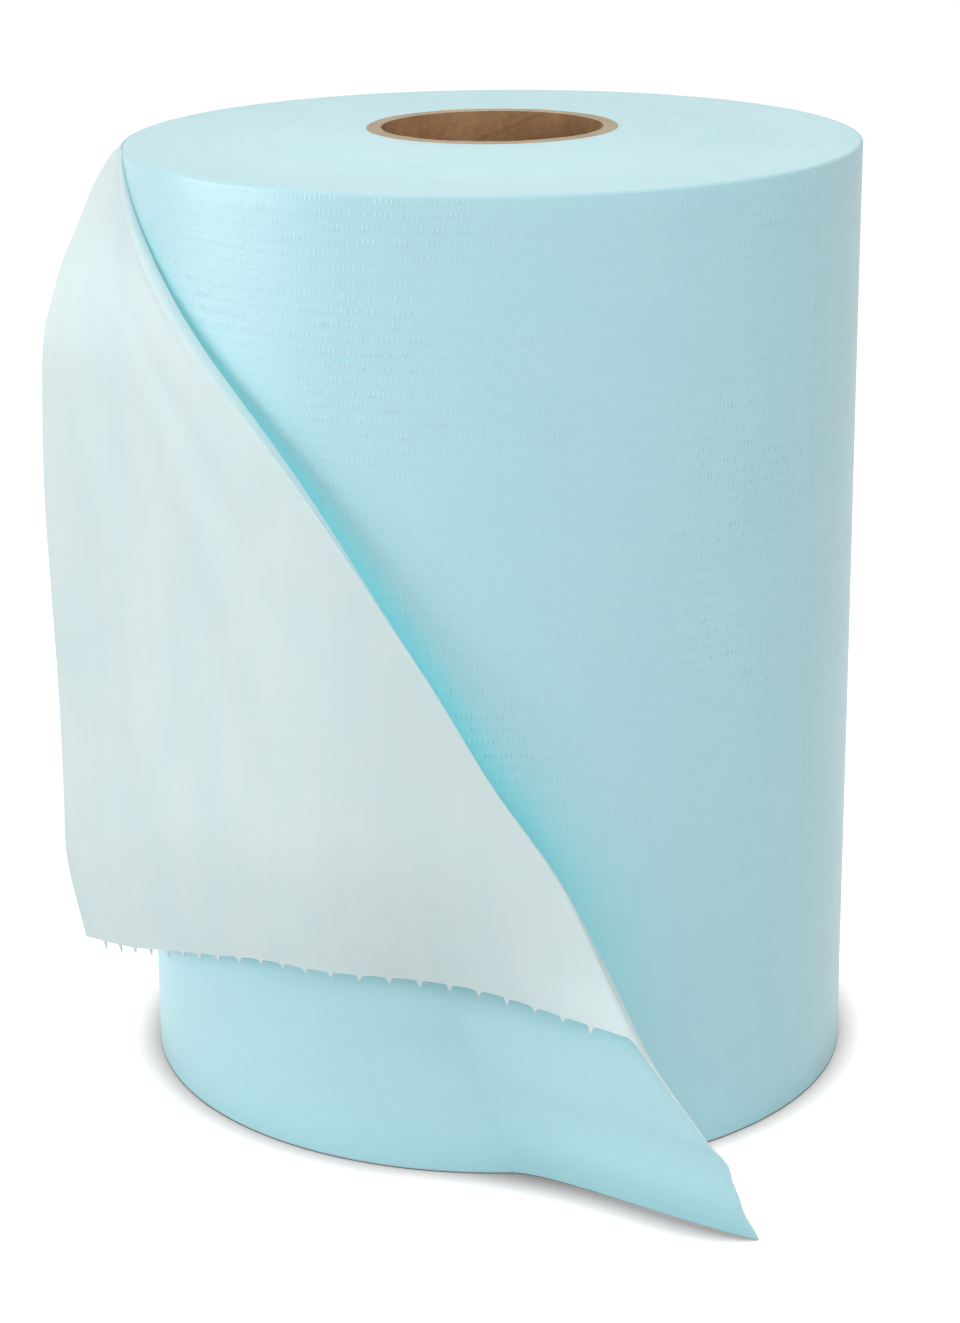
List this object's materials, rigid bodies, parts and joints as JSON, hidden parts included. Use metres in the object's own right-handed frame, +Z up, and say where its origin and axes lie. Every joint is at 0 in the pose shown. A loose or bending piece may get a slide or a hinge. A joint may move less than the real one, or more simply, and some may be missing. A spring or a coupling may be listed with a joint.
{
  "type": "nonwoven wipe roll",
  "caption": "Wide roll of embossed nonwoven wipes on a cardboard core, standing on end with its last perforated sheet folded down loose.",
  "frame": {"origin": "on the core's axis at the level that the roll stands on", "axes": "+Z up along the core's axis, -Y towards the front, where the loose sheet hangs, +X to the right"},
  "size_m": [0.2814, 0.3042, 0.334],
  "materials": {
    "core_board": "matt wound paperboard",
    "web": "soft matt nonwoven, embossed outside and smooth inside"
  },
  "bodies": {
    "root": {"core_tube": "core_board", "wipe_web": "web"}
  },
  "joints": []
}
